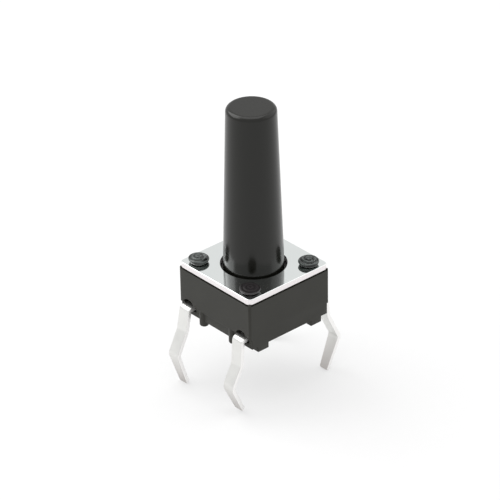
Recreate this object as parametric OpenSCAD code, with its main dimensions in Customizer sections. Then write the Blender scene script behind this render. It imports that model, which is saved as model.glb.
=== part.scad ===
// Tactile push button switch for a circuit board, with snap-in leads and a long round stem.
// Z runs up the stem. X points across the body, out of the two sides that the leads leave.
// The origin is on the board, at the centre of the plane that the feet stand on. Sizes are in mm.

/* [Base] */
// Side of the square base
base_w = 6; // [5.6:0.1:7.2]
// Height of the top face of the base above the board
base_h = 3.25; // [2.9:0.05:3.9]
// Radius of the upright corners of the base
base_corner_r = 0.08; // [0.04:0.02:0.4]
// Bevel along the top edge of the base, under the cover
base_bevel = 0.05; // [0.03:0.01:0.12]
// Height of the feet and pegs, which lift the base off the board
foot_h = 0.35; // [0.2:0.05:0.5]
// Length of a foot along X
foot_len = 0.8; // [0.5:0.05:1]
// Width of a foot along Y
foot_w = 0.5; // [0.3:0.05:0.7]
// Distance from the lead side of the base to the middle of a foot
foot_inset = 1; // [0.9:0.02:1.3]
// Radius of a round peg
peg_r = 0.27; // [0.2:0.01:0.32]
// Distance from the lead side of the base to the axis of a peg
peg_inset = 0.3; // [0.28:0.02:0.5]
// Distance between the two pegs of one side
peg_pitch = 2.5; // [1.8:0.1:2.8]
// Height of the ledge above the board; below it the lead sides are set back
ledge_h = 1; // [0.8:0.05:1.2]
// Depth of that set-back
ledge_in = 0.15; // [0.05:0.05:0.2]
// Height of the cavity floor above the board
floor_h = 1.3; // [1.2:0.05:1.5]

/* [Cover] */
// Thickness of the cover plate
cover_t = 0.35; // [0.2:0.05:0.5]
// How far each side of the cover lies inside the side of the base
cover_in = 0.02; // [0:0.01:0.06]
// Radius of the corners of the cover
cover_corner_r = 0.45; // [0.3:0.05:0.55]
// Radius of a riveting post
post_r = 0.4; // [0.3:0.05:0.45]
// Distance from each side of the base to the axis of a post
post_inset = 0.8; // [0.75:0.05:0.95]
// Radius of a rivet head
rivet_r = 0.6; // [0.55:0.01:0.65]
// Height of a rivet head above the cover
rivet_h = 0.35; // [0.2:0.05:0.45]
// Radius of the rounded edge of a rivet head
rivet_edge_r = 0.2; // [0.1:0.05:0.3]

/* [Stem] */
// Height of the top of the stem above the board
stem_top = 13.5; // [6:0.5:17]
// Diameter of the stem where it leaves the cover
stem_d = 3.47; // [2.6:0.01:3.8]
// Diameter of the stem at its top
stem_top_d = 2.87; // [2:0.01:3.2]
// Radius of the rounded edge of the stem's top
stem_edge_r = 0.25; // [0.05:0.05:0.4]
// Gap all round the stem in the hole of the cover
stem_clear = 0.15; // [0.1:0.01:0.3]
// How far the flange reaches under the cover
flange_lip = 0.26; // [0.2:0.02:0.3]
// Thickness of the flange
flange_t = 0.4; // [0.3:0.05:0.6]
// Radius of the nub that presses the dome
nub_r = 0.6; // [0.4:0.05:0.8]
// Travel of the stem
travel = 0.25; // [0.15:0.05:0.3]

/* [Dome] */
// Thickness of the snap dome
dome_t = 0.08; // [0.05:0.01:0.1]

/* [Leads] */
// Width of a lead
lead_w = 0.8; // [0.6:0.02:1]
// Thickness of a lead
lead_t = 0.25; // [0.2:0.01:0.36]
// Height above the board of the upper face of a lead, where it leaves the base
lead_h = 1; // [0.95:0.05:1.1]
// Distance from the lead side of the base out to the middle of a lead, where it leaves the base
lead_out = 0.2; // [0.18:0.01:0.3]
// How far a lead leans out on its way down to the crimp
lead_lean = 0.12; // [0:0.02:0.2]
// Distance from the plain side of the base in to the middle of a lead
lead_inset = 0.75; // [0.7:0.05:0.9]
// Depth of the lead tips below the board
lead_depth = 3.95; // [3:0.05:5]
// Distance from the lead side of the base out to the middle of a lead's tip
tip_out = 0.3; // [0.1:0.05:0.6]
// Width of a lead's tip
tip_w = 0.6; // [0.3:0.05:0.8]
// Bevel at the corners of the tip
tip_bevel = 0.1; // [0.05:0.05:0.15]
// Depth below the board at which a lead starts to bend out
crimp_start = 0.5; // [0.2:0.05:0.8]
// Depth below the board of the outermost point of a lead
crimp_depth = 1.93; // [1.4:0.01:2.4]
// Distance from the lead side of the base out to the middle of a lead at that point
crimp_out = 1.1; // [0.6:0.02:1.3]
// Gap beside a lead in its notch
notch_clear = 0.1; // [0.04:0.01:0.12]
// Gap above a lead in its notch
notch_over = 0.35; // [0.1:0.05:0.4]
// Gap below a lead in its notch
notch_under = 0.1; // [0.05:0.05:0.2]

/* [Hidden] */
$fn = 96;
sides = [-1, 1];
overlap = 0.1; // how far two parts of one solid run into each other
past = 1; // how far a cut runs past the face that it leaves

// gaps between pieces
flange_clear = 0.11; // flange to cavity wall
play = 0.02; // plunger to cover above it and dome below it
post_clear = 0.03; // post to its hole in the cover
dome_clear = 0.25; // dome to cavity wall

// levels above the board
cover_top = base_h + cover_t;
flange_top = base_h - play;
lead_under = lead_h - lead_t;

// radii round the stem's axis
hole_r = stem_d / 2 + stem_clear;
flange_r = hole_r + flange_lip;
cavity_r = flange_r + flange_clear;
dome_r = cavity_r - dome_clear;

// the dome's inner face touches the centre contact when the stem has made its travel
contact_proud = 0.05;
dome_rise = travel + contact_proud;
dome_inner_r = (dome_r * dome_r + dome_rise * dome_rise) / (2 * dome_rise);
dome_centre_z = floor_h + dome_rise - dome_inner_r;
dome_top = floor_h + dome_rise + dome_t;

// places in plan
post_at = base_w / 2 - post_inset;
foot_x = base_w / 2 - foot_inset;
foot_y = base_w / 2 - foot_w / 2;
peg_x = base_w / 2 - peg_inset;
lead_x = base_w / 2 + lead_out;
lead_y = base_w / 2 - lead_inset;
notch_depth = 0.35;

// contact pads and the strips that carry them, inside the base
tongue_w = 0.8;
centre_pad_r = 0.55;
centre_contact_r = 0.4;
rim_contact_r = 0.35;
rim_contact_angle = 38;
rim_contact_in = 0.15; // from the rim of the dome in to the axis of a rim contact
rim_contact_at = dome_r - rim_contact_in;
rim_contact_x = rim_contact_at * cos(rim_contact_angle);
rim_contact_y = -rim_contact_at * sin(rim_contact_angle);

// centre line of one lead in X and Z, from the strip in the base to the tip
bend_r = 0.25;
bend_steps = 6;
lead_mid_z = lead_h - lead_t / 2;
lead_path = concat(
    [[0, lead_mid_z]],
    [for (i = [0:bend_steps])
        let (a = 90 * (1 - i / bend_steps))
        [lead_x - bend_r + bend_r * cos(a), lead_mid_z - bend_r + bend_r * sin(a)]],
    [[lead_x + lead_lean, -crimp_start]],
    [[base_w / 2 + crimp_out, -crimp_depth]],
    [[base_w / 2 + tip_out, -lead_depth]]
);

function unit(v) = v / norm(v);
function turned(v) = [-v.y, v.x];
// normals of the stretches before and after point i of a path
function normal_before(path, i) = turned(unit(path[max(i, 1)] - path[max(i, 1) - 1]));
function normal_after(path, i) =
    let (last = len(path) - 1, j = min(i, last - 1)) turned(unit(path[j + 1] - path[j]));
// point i of a path, moved sideways by d with its corners kept sharp
function beside(path, i, d) =
    let (n = normal_before(path, i), m = unit(n + normal_after(path, i)))
    path[i] + m * d / (m * n);

// outline of a strip of thickness t along a path
module strip_outline(path, t) {
    last = len(path) - 1;
    polygon(concat(
        [for (i = [0:last]) beside(path, i, t / 2)],
        [for (i = [0:last]) beside(path, last - i, -t / 2)]
    ));
}

// square of side w with round corners, centred
module rounded_square(w, r) {
    square([w, w - 2 * r], center = true);
    square([w - 2 * r, w], center = true);
    for (x = sides, y = sides)
        translate([x * (w / 2 - r), y * (w / 2 - r)]) circle(r);
}

// disc with a rounded upper edge, standing on z = 0
module domed_disc(r, h, edge_r) {
    round_r = min(edge_r, h);
    rotate_extrude()
        intersection() {
            union() {
                square([r - round_r, h]);
                square([r, h - round_r]);
                translate([r - round_r, h - round_r]) circle(round_r, $fn = 48);
            }
            square([r, h]);
        }
}

// everything that stands at the four corners of a rectangle, at (x, y)
module at_corners(x, y) {
    for (sx = sides, sy = sides)
        translate([sx * x, sy * y, 0]) children();
}

// a lead seen along X: full width down to the crimp, then narrowing to its bevelled tip
module lead_front() {
    for (side = [0, 1])
        mirror([side, 0])
            polygon([
                [0, lead_h + past],
                [lead_w / 2, lead_h + past],
                [lead_w / 2, -crimp_depth],
                [tip_w / 2, tip_bevel - lead_depth],
                [tip_w / 2 - tip_bevel, -lead_depth],
                [0, -lead_depth]
            ]);
}

// both leads of one row and the strip that joins them, at y = 0
module lead_pair() {
    reach = base_w + 2 * crimp_out + 2 * lead_t;
    intersection() {
        for (side = [0, 1])
            mirror([side, 0, 0])
                rotate([90, 0, 0])
                    linear_extrude(height = lead_w, center = true)
                        strip_outline(lead_path, lead_t);
        rotate([90, 0, 90]) linear_extrude(height = reach, center = true) lead_front();
    }
}

// one arched notch round a lead, where it leaves the base through the side at +X
module notch() {
    width = lead_w + 2 * notch_clear;
    arch_r = width / 2;
    arch_top = lead_h + notch_over;
    sill = lead_under - notch_under;
    translate([base_w / 2 - notch_depth, 0, 0])
        rotate([90, 0, 90])
            linear_extrude(height = notch_depth + past)
                intersection() {
                    union() {
                        translate([-arch_r, sill]) square([width, arch_top - arch_r - sill]);
                        translate([0, arch_top - arch_r]) circle(arch_r);
                    }
                    translate([-arch_r, sill]) square([width, arch_top - sill]);
                }
}

// body of the base with its cavity, without what stands on it or under it
module base_block() {
    body_h = base_h - foot_h - base_bevel;
    band_w = base_w - 2 * ledge_in;
    difference() {
        intersection() {
            union() {
                translate([0, 0, foot_h])
                    linear_extrude(height = body_h) rounded_square(base_w, base_corner_r);
                translate([0, 0, base_h - base_bevel])
                    linear_extrude(height = base_bevel)
                        rounded_square(base_w - 2 * base_bevel, base_corner_r);
            }
            union() {
                translate([-base_w, -base_w, ledge_h]) cube([2 * base_w, 2 * base_w, base_h]);
                translate([-band_w / 2, -base_w, 0]) cube([band_w, 2 * base_w, 2 * ledge_h]);
            }
        }
        translate([0, 0, floor_h]) cylinder(r = cavity_r, h = base_h - floor_h + past);
    }
}

// moulded base with its feet, pegs and riveted posts
module base() {
    color([0.21, 0.205, 0.19])
        difference() {
            union() {
                base_block();
                at_corners(foot_x, foot_y)
                    translate([-foot_len / 2, -foot_w / 2, 0])
                        cube([foot_len, foot_w, foot_h + overlap]);
                at_corners(peg_x, peg_pitch / 2) cylinder(r = peg_r, h = ledge_h);
                at_corners(post_at, post_at) {
                    translate([0, 0, base_h - overlap])
                        cylinder(r = post_r, h = cover_t + 2 * overlap);
                    translate([0, 0, cover_top]) domed_disc(rivet_r, rivet_h, rivet_edge_r);
                }
            }
            for (turn = [0, 180], y = [-lead_y, lead_y])
                rotate([0, 0, turn]) translate([0, y, 0]) notch();
            terminal_common();
            terminal_contact();
        }
}

// cover plate, held down by the riveted posts
module cover_plate() {
    color([0.84, 0.86, 0.85])
        translate([0, 0, base_h])
            difference() {
                linear_extrude(height = cover_t)
                    rounded_square(base_w - 2 * cover_in, cover_corner_r);
                translate([0, 0, -past]) cylinder(r = hole_r, h = cover_t + 2 * past);
                at_corners(post_at, post_at)
                    translate([0, 0, -past])
                        cylinder(r = post_r + post_clear, h = cover_t + 2 * past);
            }
}

// plunger: tapered stem, flange held under the cover, and the nub that presses the dome
module plunger() {
    taper_h = stem_top - cover_top;
    color([0.06, 0.06, 0.065])
        rotate_extrude()
            intersection() {
                union() {
                    // nub
                    translate([0, dome_top + play])
                        square([nub_r, flange_top - dome_top - play]);
                    // flange
                    translate([0, flange_top - flange_t]) square([flange_r, flange_t]);
                    // straight stretch in the cover's hole
                    translate([0, flange_top - flange_t])
                        square([stem_d / 2, cover_top - flange_top + flange_t]);
                    // tapered stretch, up to the rounded edge
                    translate([0, cover_top])
                        polygon([
                            [0, 0],
                            [stem_d / 2, 0],
                            [stem_top_d / 2, taper_h - stem_edge_r],
                            [0, taper_h - stem_edge_r]
                        ]);
                    translate([0, stem_top - 2 * stem_edge_r])
                        square([stem_top_d / 2 - stem_edge_r, 2 * stem_edge_r]);
                    translate([stem_top_d / 2 - stem_edge_r, stem_top - stem_edge_r])
                        circle(stem_edge_r, $fn = 48);
                }
                square([base_w, stem_top]);
            }
}

// snap dome: a thin spherical cap with its rim on the cavity floor
module snap_dome() {
    color([0.75, 0.76, 0.76])
        intersection() {
            translate([0, 0, dome_centre_z])
                difference() {
                    sphere(dome_inner_r + dome_t);
                    sphere(dome_inner_r);
                }
            translate([0, 0, floor_h]) cylinder(r = dome_r, h = dome_rise + dome_t + past);
        }
}

// terminal under the dome's centre: one row of leads, a tongue and the centre contact
module terminal_common() {
    color([0.88, 0.88, 0.87])
        union() {
            translate([0, lead_y, 0]) lead_pair();
            translate([-tongue_w / 2, 0, lead_under]) cube([tongue_w, lead_y, lead_t]);
            translate([0, 0, lead_under]) cylinder(r = centre_pad_r, h = lead_t);
            translate([0, 0, lead_under])
                cylinder(r = centre_contact_r, h = floor_h + contact_proud - lead_under);
        }
}

// terminal under the dome's rim: the other row of leads, two arms and two contacts
module terminal_contact() {
    arm_w = 2 * rim_contact_r;
    color([0.88, 0.88, 0.87])
        union() {
            translate([0, -lead_y, 0]) lead_pair();
            for (side = sides) {
                translate([side * rim_contact_x - arm_w / 2, -lead_y, lead_under])
                    cube([arm_w, lead_y + rim_contact_y, lead_t]);
                translate([side * rim_contact_x, rim_contact_y, lead_under])
                    cylinder(r = rim_contact_r, h = floor_h - lead_under);
            }
        }
}

base();
cover_plate();
plunger();
snap_dome();
terminal_common();
terminal_contact();
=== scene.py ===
"""Looks of the tactile push button switch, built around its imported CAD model.

Shapes are made in millimetres and scaled to metres when they become pieces.
"""

import math
import random

import bpy
import bmesh
from mathutils import Matrix, Quaternion, Vector


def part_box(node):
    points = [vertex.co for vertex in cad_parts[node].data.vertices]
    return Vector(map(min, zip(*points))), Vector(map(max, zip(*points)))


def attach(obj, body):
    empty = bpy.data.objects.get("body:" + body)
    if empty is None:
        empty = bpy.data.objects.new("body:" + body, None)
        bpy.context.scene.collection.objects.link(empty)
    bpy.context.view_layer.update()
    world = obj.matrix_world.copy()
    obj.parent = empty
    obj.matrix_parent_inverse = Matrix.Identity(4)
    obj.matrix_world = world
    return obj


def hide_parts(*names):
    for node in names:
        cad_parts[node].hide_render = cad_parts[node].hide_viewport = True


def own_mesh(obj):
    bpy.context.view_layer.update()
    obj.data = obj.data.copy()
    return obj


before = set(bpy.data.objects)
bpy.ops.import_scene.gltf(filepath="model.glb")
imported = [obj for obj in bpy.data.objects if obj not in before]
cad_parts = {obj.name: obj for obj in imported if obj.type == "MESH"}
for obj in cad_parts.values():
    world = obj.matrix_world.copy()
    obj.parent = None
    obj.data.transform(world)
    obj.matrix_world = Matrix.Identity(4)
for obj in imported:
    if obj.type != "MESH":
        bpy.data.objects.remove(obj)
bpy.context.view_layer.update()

MM = 0.001
TAU = 2 * math.pi
SIDES = (-1, 1)
CORNERS = ((1, 1), (-1, 1), (-1, -1), (1, -1))

# ---------------------------------------------------------------- sizes, in millimetres

base_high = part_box("base")[1] / MM
cover_low, cover_high = (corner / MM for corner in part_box("cover_plate"))
plunger_low, plunger_high = (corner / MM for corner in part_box("plunger"))
dome_low, dome_high = (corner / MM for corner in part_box("snap_dome"))
lead_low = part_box("terminal_common")[0] / MM

HALF = base_high.x
BASE_TOP = cover_low.z
COVER_TOP = cover_high.z
FLOOR_OF_CAVITY = dome_low.z
LEAD_TIP = lead_low.z

MERGE_WITHIN = 0.0004
SMALL_EDGE = 0.03
CUT_PAST = 0.1

# the base: feet, pegs, ledge and band, grooves, cavity and notches
FOOT_H = 0.35
FOOT_LEN = 0.8
FOOT_W = 0.5
FOOT_X = HALF - 1.0
FOOT_EDGE = 0.04
FOOT_RUNS_IN = 0.3
PEG_R = 0.27
PEG_X = HALF - 0.3
PEG_Y = 1.25
PEG_EDGE = 0.12
PEG_RUNS_IN = 0.1
LEDGE_H = 1.0
LEDGE_IN = 0.15
BAND_RUNS_IN = 0.4
CORNER_R = 0.14
EDGE_R = 0.035
GROOVE_H = 0.08
GROOVE_IN = 0.25
GROOVE_END = 0.14
GROOVE_EDGE = 0.01
CAVITY_R = 2.255
CAVITY_CUT_PAST = 0.75
NOTCH_W = 1.0
NOTCH_TOP = 1.35
NOTCH_SILL = 0.65
NOTCH_DEPTH = 0.35
NOTCH_CUT_PAST = 1.0

# the cover, and the posts that stand in its holes
COVER_CORNER_R = 0.3
COVER_ROLL = 0.045
HOLE_R = 1.885
POST_AT = HALF - 0.8
POST_R = 0.4
POST_HOLE_R = 0.43
POST_RUNS_IN = 0.35

# the melted head of a post
RIVET_R = 0.6
HEAD_H = base_high.z - COVER_TOP
HEAD_RIM = 0.06
HEAD_RIM_Z = 0.225
HEAD_RIDGE = 0.05
HEAD_PITCH = 0.25
HEAD_LOBE = 0.045
HEAD_LEAN = 0.025
HEAD_BLEND = 0.08
CROWN_BLEND_ROWS = 4

# the stem with its flange and nub, and the dome under it
STEM_R = 1.735
STEM_TOP_R = 1.435
STEM_EDGE_R = 0.28
STEM_TOP_STEP = 0.02
FLANGE_R = 2.145
FLANGE_T = 0.4
FLANGE_EDGE = 0.05
PLAY = 0.02
NUB_R = 0.6
DOME_T = 0.08

# the leads
LEAD_W = 0.8
LEAD_T = 0.25
LEAD_EDGE = 0.04
LEAD_H = 1.0
LEAD_Y = HALF - 0.75
LEAD_X = HALF + 0.2
LEAD_LOW = LEAD_H - LEAD_T
LEAD_MID_Z = LEAD_H - LEAD_T / 2
LEAD_BEND_R = 0.16
WIDE_DOWN_TO = -1.93
TIP_W = 0.6
TIP_ROUND = 0.09
TIP_CLEAR = 0.02
# height where the painted shade on the leads begins; it darkens them towards the tips
TIP_SHADE_FROM = -1.6

# the tongue, its pad and the contacts inside
TONGUE_W = 0.8
PAD_R = 0.55
CENTRE_CONTACT_R = 0.4
CENTRE_CONTACT_RISE = 0.05
CENTRE_CONTACT_EDGE = 0.05
RIM_CONTACT_R = 0.35
RIM_CONTACT_IN = 0.15
RIM_CONTACT_ANGLE = math.radians(38)

FLOOR_R = 900


# ---------------------------------------------------------------- mesh helpers


def object_from(name, bm):
    """A new object from a bmesh in millimetres, still in millimetres."""
    bmesh.ops.recalc_face_normals(bm, faces=bm.faces)
    mesh = bpy.data.meshes.new(name)
    bm.to_mesh(mesh)
    bm.free()
    made = bpy.data.objects.new(name, mesh)
    bpy.context.scene.collection.objects.link(made)
    return made


def loft(name, rings):
    """A closed skin over rings of equally many points; a ring of one point is a pole."""
    bm = bmesh.new()
    made = [[bm.verts.new(point) for point in ring] for ring in rings]
    for lower, upper in zip(made, made[1:]):
        count = max(len(lower), len(upper))
        for i in range(count):
            j = (i + 1) % count
            if len(lower) == 1:
                bm.faces.new((lower[0], upper[j], upper[i]))
            elif len(upper) == 1:
                bm.faces.new((lower[i], lower[j], upper[0]))
            else:
                bm.faces.new((lower[i], lower[j], upper[j], upper[i]))
    for ring in (made[0], made[-1]):
        if len(ring) > 1:
            bm.faces.new(ring)
    return object_from(name, bm)


def circle(radius, z, steps, centre=(0, 0)):
    """Points of a level circle, all the way round."""
    x, y = centre
    angles = [TAU * i / steps for i in range(steps)]
    return [Vector((x + radius * math.cos(a), y + radius * math.sin(a), z)) for a in angles]


def lathe(name, profile, steps=128, centre=(0, 0)):
    """Turns (radius, height) points round an upright axis. A radius of 0 is a pole."""
    rings = []
    for radius, z in profile:
        rings.append(circle(radius, z, steps, centre) if radius > 0 else [Vector((*centre, z))])
    return loft(name, rings)


def arc(centre, radius, start, end, steps):
    """Points of an arc in a plane, from one angle to another, in degrees."""
    points = []
    for i in range(steps + 1):
        a = math.radians(start + (end - start) * i / steps)
        points.append((centre[0] + radius * math.cos(a), centre[1] + radius * math.sin(a)))
    return points


def is_upright(edge):
    first, second = edge.verts
    return abs(first.co.z - second.co.z) > 1e-6


def bounds_a_level_face(edge):
    return any(abs(face.normal.z) > 0.9 for face in edge.link_faces)


def box_with_round_edges(name, low, high, edge, upright=None):
    """A box whose edges are rounded, its upright ones by another radius if that is given."""
    bm = bmesh.new()
    bmesh.ops.create_cube(bm, size=1)
    low, high = Vector(low), Vector(high)
    for vert in bm.verts:
        vert.co = Vector((low[k] + (high[k] - low[k]) * (vert.co[k] + 0.5) for k in range(3)))
    chosen = list(bm.edges)
    if upright:
        standing = [e for e in bm.edges if is_upright(e)]
        bmesh.ops.bevel(bm, geom=standing, offset=upright, segments=8, profile=0.5, affect="EDGES")
        chosen = [e for e in bm.edges if not is_upright(e) and bounds_a_level_face(e)]
    bmesh.ops.bevel(bm, geom=chosen, offset=edge, segments=3, profile=0.5, affect="EDGES")
    return object_from(name, bm)


def boolean(target, others, operation):
    """Joins others to target or cuts them out of it, and removes them."""
    for other in others:
        step = target.modifiers.new("step", "BOOLEAN")
        step.operation = operation
        step.solver = "EXACT"
        step.object = other
        graph = bpy.context.evaluated_depsgraph_get()
        mesh = bpy.data.meshes.new_from_object(target.evaluated_get(graph))
        target.modifiers.clear()
        old = target.data
        target.data = mesh
        bpy.data.meshes.remove(old)
    for other in others:
        bpy.data.objects.remove(other)
    return target


def finish_piece(piece, body, node, sharp_deg=30):
    """Cleans a piece, scales it to metres, shades it, and puts it in place of its CAD node."""
    bm = bmesh.new()
    bm.from_mesh(piece.data)
    bmesh.ops.remove_doubles(bm, verts=bm.verts, dist=MERGE_WITHIN)
    bmesh.ops.dissolve_degenerate(bm, edges=bm.edges, dist=MERGE_WITHIN)
    bmesh.ops.recalc_face_normals(bm, faces=bm.faces)
    bm.to_mesh(piece.data)
    bm.free()
    piece.data.transform(Matrix.Scale(MM, 4))
    for face in piece.data.polygons:
        face.use_smooth = True
    piece.data.set_sharp_from_angle(angle=math.radians(sharp_deg))
    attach(piece, body)
    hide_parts(node)


# ---------------------------------------------------------------- materials


def blend_nodes(tree, factor, low, high):
    """A colour mixed from two by a factor between 0 and 1."""
    mix = tree.nodes.new("ShaderNodeMix")
    mix.data_type = "RGBA"
    mix.inputs["A"].default_value = (*low, 1)
    mix.inputs["B"].default_value = (*high, 1)
    tree.links.new(factor, mix.inputs["Factor"])
    return mix.outputs["Result"]


def spread(tree, value, low, high):
    """A value from 0 to 1, mapped to another range."""
    ranged = tree.nodes.new("ShaderNodeMapRange")
    ranged.inputs["To Min"].default_value = low
    ranged.inputs["To Max"].default_value = high
    tree.links.new(value, ranged.inputs["Value"])
    return ranged.outputs["Result"]


def noise(tree, per_mm, stretch=(1, 1, 1), detail=3.0):
    """Noise with a given number of features per millimetre along each axis."""
    place = tree.nodes.new("ShaderNodeTexCoord")
    mapping = tree.nodes.new("ShaderNodeMapping")
    mapping.inputs["Scale"].default_value = [s * per_mm / MM for s in stretch]
    texture = tree.nodes.new("ShaderNodeTexNoise")
    texture.inputs["Scale"].default_value = 1
    texture.inputs["Detail"].default_value = detail
    tree.links.new(place.outputs["Object"], mapping.inputs["Vector"])
    tree.links.new(mapping.outputs["Vector"], texture.inputs["Vector"])
    return texture.outputs["Fac"]


def bump(tree, shader, height, depth_mm):
    """Adds relief of a given depth to a shader."""
    relief = tree.nodes.new("ShaderNodeBump")
    relief.inputs["Distance"].default_value = depth_mm * MM
    relief.inputs["Strength"].default_value = 1
    tree.links.new(height, relief.inputs["Height"])
    tree.links.new(relief.outputs["Normal"], shader.inputs["Normal"])


def new_material(name, metallic=0):
    """A new material with its node tree and its shader."""
    made = bpy.data.materials.new(name)
    made.use_nodes = True
    tree = made.node_tree
    shader = tree.nodes["Principled BSDF"]
    shader.inputs["Metallic"].default_value = metallic
    return made, tree, shader


def colour_by(tree, shader, factor, low, high):
    """Base colour mixed from two by a factor between 0 and 1."""
    tree.links.new(blend_nodes(tree, factor, low, high), shader.inputs["Base Color"])


def roughness_by(tree, shader, value, low, high):
    """Roughness that follows a value from 0 to 1 between two limits."""
    tree.links.new(spread(tree, value, low, high), shader.inputs["Roughness"])


def base_plastic():
    """Warm dark grey moulded plastic, satin, with the fine grain of its mould."""
    made, tree, shader = new_material("base_plastic")
    cloud = noise(tree, 0.6)
    grain = noise(tree, 14, detail=4.0)
    colour_by(tree, shader, cloud, (0.0185, 0.0182, 0.0142), (0.0265, 0.026, 0.0208))
    roughness_by(tree, shader, grain, 0.36, 0.52)
    shader.inputs["Specular IOR Level"].default_value = 0.3
    bump(tree, shader, grain, 0.002)
    return made


def from_nearest_post(tree):
    """Object coordinates measured from the axis of the nearest of the four posts."""
    place = tree.nodes.new("ShaderNodeTexCoord")
    split = tree.nodes.new("ShaderNodeSeparateXYZ")
    centred = tree.nodes.new("ShaderNodeCombineXYZ")
    tree.links.new(place.outputs["Object"], split.inputs["Vector"])
    for axis in "XY":
        mirrored = tree.nodes.new("ShaderNodeMath")
        mirrored.operation = "ABSOLUTE"
        moved = tree.nodes.new("ShaderNodeMath")
        moved.operation = "SUBTRACT"
        moved.inputs[1].default_value = POST_AT * MM
        tree.links.new(split.outputs[axis], mirrored.inputs[0])
        tree.links.new(mirrored.outputs["Value"], moved.inputs[0])
        tree.links.new(moved.outputs["Value"], centred.inputs[axis])
    tree.links.new(split.outputs["Z"], centred.inputs["Z"])
    return centred.outputs["Vector"]


def head_rings(tree):
    """Uneven rings round the axis of each post, about one for each ridge of its head; they set the
    relief and where painted highlights and painted shade fall.
    """
    rings = tree.nodes.new("ShaderNodeTexWave")
    rings.wave_type = "RINGS"
    rings.rings_direction = "Z"
    rings.inputs["Scale"].default_value = TAU / (20 * HEAD_PITCH * MM)
    rings.inputs["Distortion"].default_value = 3.0
    rings.inputs["Detail"].default_value = 2.0
    rings.inputs["Detail Scale"].default_value = 0.6
    tree.links.new(from_nearest_post(tree), rings.inputs["Vector"])
    return rings.outputs["Fac"]


def melted_plastic(name, groove_shade_colour, ridge_highlight_colour, relief_mm):
    """The base's plastic where the posts were melted into heads: black, with painted highlights on
    its ridges and painted shade in its grooves.
    """
    made, tree, shader = new_material(name)
    wave = noise(tree, 3.5, detail=2.0)
    rings = head_rings(tree)
    # painted shade in the grooves and painted highlights on the ridges of each head
    colour_by(tree, shader, rings, groove_shade_colour, ridge_highlight_colour)
    roughness_by(tree, shader, wave, 0.12, 0.24)
    shader.inputs["Specular IOR Level"].default_value = 0.4
    bump(tree, shader, rings, relief_mm)
    return made


def stem_plastic():
    """Glossy black plastic with the faintest waviness of a moulded part."""
    made, tree, shader = new_material("stem_plastic")
    wave = noise(tree, 0.5, stretch=(1, 1, 0.3))
    grain = noise(tree, 9, detail=4.0)
    colour_by(tree, shader, wave, (0.006, 0.006, 0.0045), (0.0085, 0.0085, 0.0065))
    roughness_by(tree, shader, grain, 0.17, 0.25)
    shader.inputs["Specular IOR Level"].default_value = 0.37
    bump(tree, shader, grain, 0.0006)
    return made


def cover_metal():
    """Polished stainless sheet with very fine rolling lines."""
    made, tree, shader = new_material("cover_metal", metallic=1)
    lines = noise(tree, 6, stretch=(0.12, 1, 1), detail=5.0)
    cloud = noise(tree, 0.8)
    colour_by(tree, shader, cloud, (0.84, 0.875, 0.865), (0.91, 0.94, 0.93))
    roughness_by(tree, shader, lines, 0.05, 0.14)
    bump(tree, shader, lines, 0.0002)
    return made


def cover_edge():
    """Sheared edge of the same sheet, paler and less polished."""
    made, tree, shader = new_material("cover_edge", metallic=1)
    drag = noise(tree, 10, stretch=(1, 1, 0.25), detail=4.0)
    colour_by(tree, shader, drag, (0.80, 0.765, 0.77), (0.92, 0.885, 0.89))
    roughness_by(tree, shader, drag, 0.3, 0.45)
    bump(tree, shader, drag, 0.002)
    return made


def painted_tip_shade(tree):
    """How much painted shade a lead gets: nothing above a height, most at its tip."""
    place = tree.nodes.new("ShaderNodeTexCoord")
    split = tree.nodes.new("ShaderNodeSeparateXYZ")
    tree.links.new(place.outputs["Object"], split.inputs["Vector"])
    down = tree.nodes.new("ShaderNodeMapRange")
    down.inputs["From Min"].default_value = TIP_SHADE_FROM * MM
    down.inputs["From Max"].default_value = LEAD_TIP * MM
    down.inputs["To Max"].default_value = 0.9
    tree.links.new(split.outputs["Z"], down.inputs["Value"])
    return down.outputs["Result"]


def lead_metal():
    """Satin tin plate with a soft cloudy bloom, with painted shade that makes it duller and
    browner towards the tips.
    """
    made, tree, shader = new_material("lead_metal", metallic=1)
    cloud = noise(tree, 1.6)
    grain = noise(tree, 20, detail=4.0)
    tin_tone = blend_nodes(tree, cloud, (0.74, 0.74, 0.72), (0.82, 0.82, 0.80))
    # painted shade: the tin is mixed towards a darker brown the nearer it is to the tip
    shaded_to_tips = tree.nodes.new("ShaderNodeMix")
    shaded_to_tips.data_type = "RGBA"
    shaded_to_tips.inputs["B"].default_value = (0.50, 0.47, 0.455, 1)
    tree.links.new(painted_tip_shade(tree), shaded_to_tips.inputs["Factor"])
    tree.links.new(tin_tone, shaded_to_tips.inputs["A"])
    tree.links.new(shaded_to_tips.outputs["Result"], shader.inputs["Base Color"])
    roughness_by(tree, shader, cloud, 0.32, 0.42)
    bump(tree, shader, grain, 0.0012)
    return made


def lead_cut_painted_bright():
    """Sheared sides of the same strip, finely dragged along their length, and coloured brighter
    than the plated faces as a painted highlight.
    """
    made, tree, shader = new_material("lead_cut_painted_bright", metallic=1)
    drag = noise(tree, 9, stretch=(1, 1, 0.3), detail=4.0)
    # painted highlight: the sheared sides are coloured brighter than the plated faces
    colour_by(tree, shader, drag, (0.89, 0.88, 0.87), (0.99, 0.98, 0.97))
    roughness_by(tree, shader, drag, 0.42, 0.55)
    bump(tree, shader, drag, 0.0015)
    return made


def dome_metal():
    """Bright spring steel, brushed."""
    made, tree, shader = new_material("dome_metal", metallic=1)
    lines = noise(tree, 12, stretch=(0.1, 1, 1), detail=5.0)
    colour_by(tree, shader, lines, (0.6, 0.61, 0.61), (0.7, 0.71, 0.71))
    roughness_by(tree, shader, lines, 0.18, 0.34)
    bump(tree, shader, lines, 0.0006)
    return made


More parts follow.
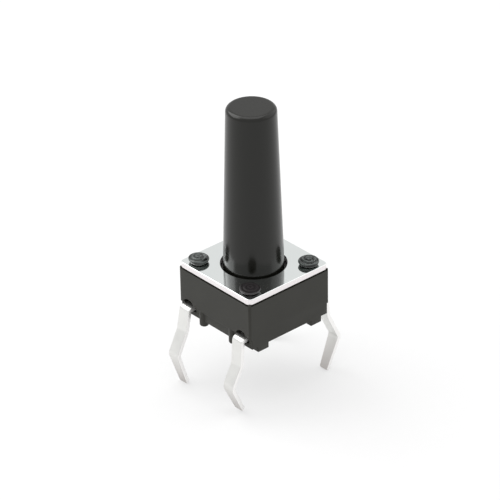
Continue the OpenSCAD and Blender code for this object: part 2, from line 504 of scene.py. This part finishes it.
def floor_sheet():
    """Matt white sheet of a light table, lit partly from below so that shadows stay pale."""
    made, tree, shader = new_material("floor_sheet")
    fibre = noise(tree, 1.2)
    colour_by(tree, shader, fibre, (0.34, 0.34, 0.34), (0.35, 0.35, 0.35))
    shader.inputs["Roughness"].default_value = 0.9
    shader.inputs["Specular IOR Level"].default_value = 0.1
    shader.inputs["Emission Color"].default_value = (1, 1, 1, 1)
    shader.inputs["Emission Strength"].default_value = 0.545
    return made


# ---------------------------------------------------------------- leads


class LeadShape:
    """How one lead was bent: (out from the base's side, height) of its bends and its tip."""

    def __init__(self, knee, knee_r, crimp, crimp_r, tip):
        self.knee = knee
        self.knee_r = knee_r
        self.crimp = crimp
        self.crimp_r = crimp_r
        self.tip = tip


# by side of the body: (-X, +X); the tip's second number is its height above the longest tip
COMMON_SHAPES = (
    LeadShape(knee=(0.46, -0.46), knee_r=0.8, crimp=(1.14, -1.84), crimp_r=0.4, tip=(0.46, 0.0)),
    LeadShape(knee=(0.32, -0.45), knee_r=0.8, crimp=(1.12, -1.93), crimp_r=0.5, tip=(0.32, 0.05)),
)
CONTACT_SHAPES = (
    LeadShape(knee=(0.31, -0.74), knee_r=0.7, crimp=(1.0, -1.98), crimp_r=0.6, tip=(0.20, 0.18)),
    LeadShape(knee=(0.31, -0.22), knee_r=0.8, crimp=(1.14, -1.93), crimp_r=0.4, tip=(0.34, 0.0)),
)


def rounded_path(points, radii, steps=8):
    """A path in X and Z through points, with an arc of its own radius at each inner point."""
    made = [Vector(points[0])]
    for before, corner, after, radius in zip(points, points[1:], points[2:], radii):
        corner = Vector(corner)
        into = (Vector(before) - corner).normalized()
        out = (Vector(after) - corner).normalized()
        half = into.angle(out) / 2
        middle = corner + (into + out).normalized() * radius / math.sin(half)
        start = corner + into * radius / math.tan(half) - middle
        end = corner + out * radius / math.tan(half) - middle
        sweep = start.angle(end)
        for i in range(steps + 1):
            share = i / steps
            spoke = start * math.sin((1 - share) * sweep) + end * math.sin(share * sweep)
            made.append(middle + spoke / math.sin(sweep))
    made.append(Vector(points[-1]))
    return made


def lead_path(shape):
    """Centre line of a lead from the middle of the base to its tip, as (x, z)."""
    points = [
        (0, LEAD_MID_Z),
        (LEAD_X, LEAD_MID_Z),
        (HALF + shape.knee[0], shape.knee[1]),
        (HALF + shape.crimp[0], shape.crimp[1]),
        (HALF + shape.tip[0], LEAD_TIP + shape.tip[1] + TIP_ROUND + TIP_CLEAR),
    ]
    return rounded_path(points, (LEAD_BEND_R, shape.knee_r, shape.crimp_r))


def lead_width(z):
    """Width of a lead at a height: full down to the crimp, then narrowing to the tip."""
    if z > WIDE_DOWN_TO:
        return LEAD_W
    share = (z - WIDE_DOWN_TO) / (LEAD_TIP - WIDE_DOWN_TO)
    return LEAD_W + (TIP_W - LEAD_W) * share


def lead_section(width, thickness):
    """Outline of a lead across its length, with rounded edges, as (across, through)."""
    points = []
    for k, (sx, sy) in enumerate(CORNERS):
        centre = (sx * (width / 2 - LEAD_EDGE), sy * (thickness / 2 - LEAD_EDGE))
        points += arc(centre, LEAD_EDGE, 90 * k, 90 * k + 90, 3)
    return points


def lead_ring(point, through, y, width, thickness):
    """One section of a lead, set square across its path at a point."""
    ring = []
    for across, depth in lead_section(width, thickness):
        spot = point + through * depth
        ring.append(Vector((spot.x, y + across, spot.y)))
    return ring


def tip_rings(point, along, through, y):
    """Rings past the end of a lead that round off its tip."""
    made = []
    rings = 4
    for k in range(1, rings + 1):
        turn = math.radians(90 * k / rings)
        inset = TIP_ROUND * (1 - math.cos(turn))
        spot = point + along * TIP_ROUND * math.sin(turn)
        made.append(lead_ring(spot, through, y, TIP_W - 2 * inset, LEAD_T - 1.6 * inset))
    return made


def lead_row(name, y, shapes):
    """Both leads of a row and the strip between them, swept in one."""
    left, right = (lead_path(shape) for shape in shapes)
    path = [Vector((-p.x, p.y)) for p in reversed(left[1:])] + right
    last = len(path) - 1
    rings = []
    for i, point in enumerate(path):
        ahead = (path[min(i + 1, last)] - path[max(i - 1, 0)]).normalized()
        through = Vector((-ahead.y, ahead.x))
        rings.append(lead_ring(point, through, y, lead_width(point.y), LEAD_T))
        if i == 0:
            rings = list(reversed(tip_rings(point, -ahead, through, y))) + rings
        elif i == last:
            rings += tip_rings(point, ahead, through, y)
    return loft(name, rings)


# ---------------------------------------------------------------- pieces


def centre_pad():
    """Round end of the tongue under the middle of the dome."""
    low, high, inner = LEAD_LOW, LEAD_H, PAD_R - SMALL_EDGE
    profile = [(0, low), (inner, low), (PAD_R, low + SMALL_EDGE)]
    profile += [(PAD_R, high - SMALL_EDGE), (inner, high), (0, high)]
    return lathe("pad", profile)


def centre_contact():
    """Contact on the pad that the pressed dome meets."""
    top = FLOOR_OF_CAVITY + CENTRE_CONTACT_RISE
    shoulder = top - CENTRE_CONTACT_EDGE
    inner = CENTRE_CONTACT_R - CENTRE_CONTACT_EDGE
    profile = [(0, LEAD_LOW), (CENTRE_CONTACT_R, LEAD_LOW), (CENTRE_CONTACT_R, shoulder)]
    profile += [(inner, top), (0, top)]
    return lathe("contact", profile)


def terminal_common():
    """Row of leads at +Y, the tongue under the dome and the centre contact."""
    made = lead_row("terminal_common_strip", LEAD_Y, COMMON_SHAPES)
    low, high = (-TONGUE_W / 2, 0, LEAD_LOW), (TONGUE_W / 2, LEAD_Y, LEAD_H)
    tongue = box_with_round_edges("tongue", low, high, SMALL_EDGE)
    return boolean(made, [tongue, centre_pad(), centre_contact()], "UNION")


def rim_contact(x, y):
    """Contact that the rim of the dome rests on."""
    low, high = LEAD_LOW, FLOOR_OF_CAVITY
    profile = [(0, low), (RIM_CONTACT_R, low), (RIM_CONTACT_R, high), (0, high)]
    return lathe("rim_contact", profile, steps=64, centre=(x, y))


def terminal_contact():
    """Row of leads at -Y, two arms and the two contacts under the dome's rim."""
    made = lead_row("terminal_contact_strip", -LEAD_Y, CONTACT_SHAPES)
    reach = dome_high.x - RIM_CONTACT_IN
    x, y = reach * math.cos(RIM_CONTACT_ANGLE), -reach * math.sin(RIM_CONTACT_ANGLE)
    parts = []
    for side in SIDES:
        low = (side * x - RIM_CONTACT_R, -LEAD_Y, LEAD_LOW)
        high = (side * x + RIM_CONTACT_R, y, LEAD_H)
        parts.append(box_with_round_edges("arm", low, high, SMALL_EDGE))
        parts.append(rim_contact(side * x, y))
    return boolean(made, parts, "UNION")


class Head:
    """How one post was melted: its corner, slip in X and Y, height and ridges as shares, seed."""

    def __init__(self, corner, slip, tall, ridges, seed):
        rng = random.Random(seed)
        self.corner = Vector(corner) * POST_AT
        self.slip = Vector(slip)
        self.tall = tall
        self.ridges = ridges
        self.lobes = [
            (k, rng.uniform(0.2, 1.0) * HEAD_LOBE / k, rng.uniform(0, TAU)) for k in (2, 3, 5)
        ]
        self.lean_to, self.bend_2, self.bend_3, self.fade = (rng.uniform(0, TAU) for _ in range(4))

    def swell(self, a):
        """How far the outline stands out at an angle, as a share of its radius."""
        return sum(size * math.cos(k * a + turn) for k, size, turn in self.lobes)

    def ridge(self, radius, a):
        """Height of the swirled ridges on the crown, in millimetres."""
        turns = radius / HEAD_PITCH + a / TAU
        turns += 0.16 * math.sin(2 * a + self.bend_2) + 0.1 * math.sin(3 * a + self.bend_3)
        depth = HEAD_RIDGE * self.ridges * (0.75 + 0.25 * math.sin(a + self.fade))
        return depth * (2 * abs(math.sin(TAU / 2 * turns)) - 1)


RIVET_HEADS = (
    Head((-1, -1), slip=(-0.05, 0.0), tall=0.75, ridges=0.12, seed=11),
    Head((-1, 1), slip=(-0.05, -0.08), tall=1.0, ridges=0.9, seed=12),
    Head((1, -1), slip=(-0.12, -0.11), tall=0.95, ridges=1.1, seed=13),
    Head((1, 1), slip=(-0.03, 0.0), tall=0.9, ridges=1.0, seed=14),
)


def head_outline():
    """Half section of a head as (radius, height), and the row where its crown begins."""
    outline = [(POST_R, -POST_RUNS_IN), (POST_R, 0.0), (0.48, 0.02), (0.53, 0.06), (0.575, 0.15)]
    outline += arc((RIVET_R - HEAD_RIM, HEAD_RIM_Z), HEAD_RIM, -20, 70, 8)
    crown = len(outline) - 2
    rim_r, rim_z = outline[-1]
    rows = 30
    for row in range(1, rows):
        share = 1 - row / rows
        outline.append((rim_r * share, rim_z + (HEAD_H - rim_z) * (1 - share ** 1.3)))
    return outline, crown


def rivet_head(head):
    """One melted post head: an undercut mushroom with a swirled crown, never quite round."""
    steps = 112
    outline, crown = head_outline()
    rings = []
    for row, (radius, rise) in enumerate(outline):
        on_head = min(1, max(0, rise / HEAD_BLEND))
        on_crown = min(1, max(0, row - crown) / CROWN_BLEND_ROWS) * min(1, radius / HEAD_BLEND)
        centre = head.corner + head.slip * on_head
        ring = []
        for i in range(steps):
            a = TAU * i / steps
            r = radius * (1 + head.swell(a) * on_head)
            z = rise + head.ridge(radius, a) * on_crown
            z += HEAD_LEAN * on_head * radius / RIVET_R * math.cos(a - head.lean_to)
            x, y = centre.x + r * math.cos(a), centre.y + r * math.sin(a)
            ring.append(Vector((x, y, COVER_TOP + z * head.tall)))
        rings.append(ring)
    rings.append([sum(rings[-1], Vector()) / steps])
    return loft("rivet_head", rings)


def notch_cutter(side, y):
    """An arched notch round a lead, in a lead side."""
    arch = NOTCH_W / 2
    outline = [(arch, NOTCH_SILL)] + arc((0, NOTCH_TOP - arch), arch, 0, 180, 24)
    outline += [(-arch, NOTCH_SILL)]
    ends = sorted((side * (HALF - NOTCH_DEPTH), side * (HALF + NOTCH_CUT_PAST)))
    return loft("notch", [[Vector((x, y + across, z)) for across, z in outline] for x in ends])


def foot(sx, sy):
    x, y = sx * FOOT_X, sy * (HALF - FOOT_W / 2)
    half = Vector((FOOT_LEN / 2, FOOT_W / 2, 0))
    low, high = Vector((x, y, 0)) - half, Vector((x, y, FOOT_H + FOOT_RUNS_IN)) + half
    return box_with_round_edges("foot", low, high, FOOT_EDGE)


def peg(sx, sy):
    top = LEDGE_H + PEG_RUNS_IN
    profile = [(0, 0)] + arc((PEG_R - PEG_EDGE, PEG_EDGE), PEG_EDGE, -90, 0, 6)
    profile += [(PEG_R, top), (0, top)]
    return lathe("peg", profile, steps=48, centre=(sx * PEG_X, sy * PEG_Y))


def cavity_cutter():
    low, high = FLOOR_OF_CAVITY, BASE_TOP + CAVITY_CUT_PAST
    return lathe("cavity", [(0, low), (CAVITY_R, low), (CAVITY_R, high), (0, high)])


def groove_cutters(side):
    """Two slots that part the top of the base from the cover's edge, on an X and a Y side."""
    near, far = sorted((side * (HALF - GROOVE_IN), side * (HALF + CUT_PAST)))
    end = HALF - GROOVE_END
    low, high = BASE_TOP - GROOVE_H, BASE_TOP + CUT_PAST
    return [
        box_with_round_edges("groove", (near, -end, low), (far, end, high), GROOVE_EDGE),
        box_with_round_edges("groove", (-end, near, low), (end, far, high), GROOVE_EDGE),
    ]


def base_moulding(cutters):
    """Body, ledges, feet, pegs and melted posts, less the cavity, the notches and the leads."""
    low, high = (-HALF, -HALF, LEDGE_H), (HALF, HALF, BASE_TOP)
    made = box_with_round_edges("base_moulding", low, high, EDGE_R, upright=CORNER_R)
    band = HALF - LEDGE_IN
    low, high = (-band, -HALF, FOOT_H), (band, HALF, LEDGE_H + BAND_RUNS_IN)
    parts = [box_with_round_edges("band", low, high, SMALL_EDGE)]
    for sx in SIDES:
        for sy in SIDES:
            parts += [foot(sx, sy), peg(sx, sy)]
    parts += [rivet_head(head) for head in RIVET_HEADS]
    boolean(made, parts, "UNION")
    holes = [cavity_cutter()]
    for side in SIDES:
        holes += groove_cutters(side)
        holes += [notch_cutter(side, y) for y in (-LEAD_Y, LEAD_Y)]
    return boolean(made, holes + cutters, "DIFFERENCE")


def cover_outlines():
    """Outer edge of the sheet and the edges of its five holes, less the roll of their bevel."""
    half = cover_high.x
    outer = []
    for k, (sx, sy) in enumerate(CORNERS):
        centre = (sx * (half - COVER_CORNER_R), sy * (half - COVER_CORNER_R))
        outer += arc(centre, COVER_CORNER_R - COVER_ROLL, 90 * k, 90 * k + 90, 16)
    made = [outer, circle(HOLE_R + COVER_ROLL, 0, 160)]
    for sx in SIDES:
        for sy in SIDES:
            made.append(circle(POST_HOLE_R + COVER_ROLL, 0, 48, (sx * POST_AT, sy * POST_AT)))
    return made


def mesh_of_curve(curve):
    """Mesh of a filled curve, which is drawn in the scene for a moment."""
    drawn = bpy.data.objects.new("cover_outline", curve)
    bpy.context.scene.collection.objects.link(drawn)
    graph = bpy.context.evaluated_depsgraph_get()
    mesh = bpy.data.meshes.new_from_object(drawn.evaluated_get(graph))
    bpy.data.objects.remove(drawn)
    return mesh


def cover_sheet():
    """Square sheet with rolled-over edges, the stem's hole and four post holes."""
    curve = bpy.data.curves.new("cover_sheet", "CURVE")
    curve.dimensions = "2D"
    curve.fill_mode = "BOTH"
    curve.extrude = (COVER_TOP - cover_low.z) / 2 - COVER_ROLL
    curve.bevel_depth = COVER_ROLL
    curve.bevel_resolution = 4
    for points in cover_outlines():
        spline = curve.splines.new("POLY")
        spline.points.add(len(points) - 1)
        for target, point in zip(spline.points, points):
            target.co = (point[0], point[1], 0, 1)
        spline.use_cyclic_u = True
    mesh = mesh_of_curve(curve)
    mesh.transform(Matrix.Translation((0, 0, (COVER_TOP + cover_low.z) / 2)))
    made = bpy.data.objects.new("cover_sheet", mesh)
    bpy.context.scene.collection.objects.link(made)
    return made


def stem():
    """Plunger turned in one: nub, flange, the straight stretch in the hole and the long taper."""
    edge = FLANGE_EDGE
    nub_z = plunger_low.z
    flange_top = BASE_TOP - PLAY
    flange_low = flange_top - FLANGE_T
    top = plunger_high.z
    profile = [(0, nub_z)]
    profile += arc((NUB_R - edge, nub_z + edge), edge, -90, 0, 4)
    profile += [(NUB_R, flange_low)]
    profile += arc((FLANGE_R - edge, flange_low + edge), edge, -90, 0, 4)
    profile += arc((FLANGE_R - edge, flange_top - edge), edge, 0, 90, 4)
    profile += [(STEM_R, flange_top), (STEM_R, COVER_TOP)]
    profile += arc((STEM_TOP_R - STEM_EDGE_R, top - STEM_EDGE_R), STEM_EDGE_R, 0, 90, 10)
    profile += [(STEM_TOP_R - STEM_EDGE_R - STEM_TOP_STEP, top), (0, top)]
    return lathe("stem", profile, steps=192)


def dome():
    """Thin spring cap on the cavity floor."""
    radius = dome_high.x
    rise = dome_high.z - DOME_T - dome_low.z
    curve_r = (radius * radius + rise * rise) / (2 * rise)
    centre = (0, dome_low.z + rise - curve_r)
    rim = math.degrees(math.asin(radius / curve_r))
    under = arc(centre, curve_r, 90, 90 - rim, 20)
    over = arc(centre, curve_r + DOME_T, 90 - rim * 0.985, 90, 20)
    over = [(min(r, radius), z) for r, z in over]
    profile = [(0, under[0][1])] + under[1:] + over[:-1] + [(0, over[-1][1])]
    return lathe("dome", profile, steps=128)


# ---------------------------------------------------------------- putting the pieces together


def copy_of(piece):
    made = bpy.data.objects.new(piece.name + "_cutter", piece.data.copy())
    bpy.context.scene.collection.objects.link(made)
    return made


def give(piece, materials, index_of=None):
    """Gives a piece its materials; index_of picks the one that a face gets."""
    for material in materials:
        piece.data.materials.append(material)
    if index_of:
        for face in piece.data.polygons:
            face.material_index = index_of(face)


def lead_index(face):
    """0 for the plated faces of the strip, 1 for its sheared sides, which are coloured brighter as
    a painted highlight.
    """
    return int(abs(face.normal.y) > 0.8)


def base_index(face):
    """0 for the moulding, 1 for the melted heads, 2 for the head at the corner of -X and -Y, whose
    painted highlights and shade are weaker.
    """
    if face.center.z <= COVER_TOP * MM:
        return 0
    return 2 if face.center.x < 0 and face.center.y < 0 else 1


def cover_index(face):
    """0 for the sheet's faces and the start of their roll, 1 for its edges."""
    return 0 if abs(face.normal.z) > 0.6 else 1


def build_pieces():
    common, contact = terminal_common(), terminal_contact()
    base = base_moulding([copy_of(common), copy_of(contact)])
    cover, plunger, spring = cover_sheet(), stem(), dome()
    body = "switch_body"
    finish_piece(common, body, "terminal_common")
    finish_piece(contact, body, "terminal_contact")
    finish_piece(base, body, "base")
    finish_piece(cover, body, "cover_plate", sharp_deg=20)
    finish_piece(plunger, "button", "plunger")
    finish_piece(spring, body, "snap_dome")
    tin, cut_tin_painted_bright = lead_metal(), lead_cut_painted_bright()
    give(common, [tin, cut_tin_painted_bright], lead_index)
    give(contact, [tin, cut_tin_painted_bright], lead_index)
    # the heads' rings get strong painted highlights and painted shade; the head at -X and -Y gets
    # a copy with weaker, lighter ones
    heads_painted_sheen = melted_plastic("melted_plastic", (0.0025, 0.0032, 0.003), (0.088, 0.1, 0.095), 0.02)
    front_head_faint_sheen = melted_plastic(
        "melted_plastic_faint_painted_sheen", (0.015, 0.0135, 0.014), (0.024, 0.0215, 0.0225), 0.002
    )
    give(base, [base_plastic(), heads_painted_sheen, front_head_faint_sheen], base_index)
    give(plunger, [stem_plastic()])
    give(spring, [dome_metal()])
    give(cover, [cover_metal(), cover_edge()], cover_index)
    for face in cover.data.polygons:
        face.use_smooth = abs(face.normal.z) <= 0.99
    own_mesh(spring)


# ---------------------------------------------------------------- stage, light and camera


def stage():
    """Wide round floor under the tips of the leads."""
    bm = bmesh.new()
    bmesh.ops.create_circle(bm, cap_ends=True, radius=FLOOR_R, segments=96)
    floor = object_from("floor", bm)
    floor.data.transform(Matrix.Scale(MM, 4))
    floor.data.transform(Matrix.Translation((0, 0, LEAD_TIP * MM)))
    floor.data.materials.append(floor_sheet())


def direction(azimuth, elevation):
    """Unit vector from the switch towards a place seen at these angles, in degrees."""
    a, e = math.radians(azimuth), math.radians(elevation)
    return Vector((math.sin(a) * math.cos(e), -math.cos(a) * math.cos(e), math.sin(e)))


def placed(name, data, location, rotation):
    """A light or camera in the scene, at a place in millimetres."""
    made = bpy.data.objects.new(name, data)
    bpy.context.scene.collection.objects.link(made)
    made.location = location * MM
    made.rotation_mode = "QUATERNION"
    made.rotation_quaternion = rotation
    return made


def soft_light(name, azimuth, elevation, distance, width, height, power):
    """A soft box that faces the switch, placed by angle and distance in millimetres."""
    lamp = bpy.data.lights.new(name, "AREA")
    lamp.shape = "RECTANGLE"
    lamp.size = width * MM
    lamp.size_y = height * MM
    lamp.energy = power
    away = direction(azimuth, elevation)
    placed(name, lamp, away * distance + Vector((0, 0, 4)), away.to_track_quat("Z", "Y"))


def lights():
    """An even white surround and three soft boxes."""
    scene = bpy.context.scene
    scene.view_settings.view_transform = "Standard"
    scene.world = bpy.data.worlds.new("studio")
    scene.world.use_nodes = True
    surround = scene.world.node_tree.nodes["Background"]
    surround.inputs["Color"].default_value = (1, 1, 1, 1)
    surround.inputs["Strength"].default_value = 0.81
    soft_light("key", -150, 46, distance=120, width=115, height=80, power=0.078)
    soft_light("fill", 66, 35, distance=120, width=150, height=100, power=0.024)
    soft_light("top", 139, 82, distance=135, width=120, height=120, power=0.065)


def camera():
    """A long lens, a little above the switch, with one corner of it towards the camera."""
    azimuth, elevation, roll = -41.197, 30.714, -1.002
    distance = 171.26
    aim = Vector((-0.326, -0.074, 4.545))
    data = bpy.data.cameras.new("camera")
    data.sensor_width = 36
    data.lens = 219.96
    data.clip_start = 0.01
    data.clip_end = 10
    back = direction(azimuth, elevation)
    turn = (-back).to_track_quat("-Z", "Y") @ Quaternion((0, 0, 1), math.radians(roll))
    bpy.context.scene.camera = placed("camera", data, aim + back * distance, turn)


camera()
build_pieces()
stage()
lights()
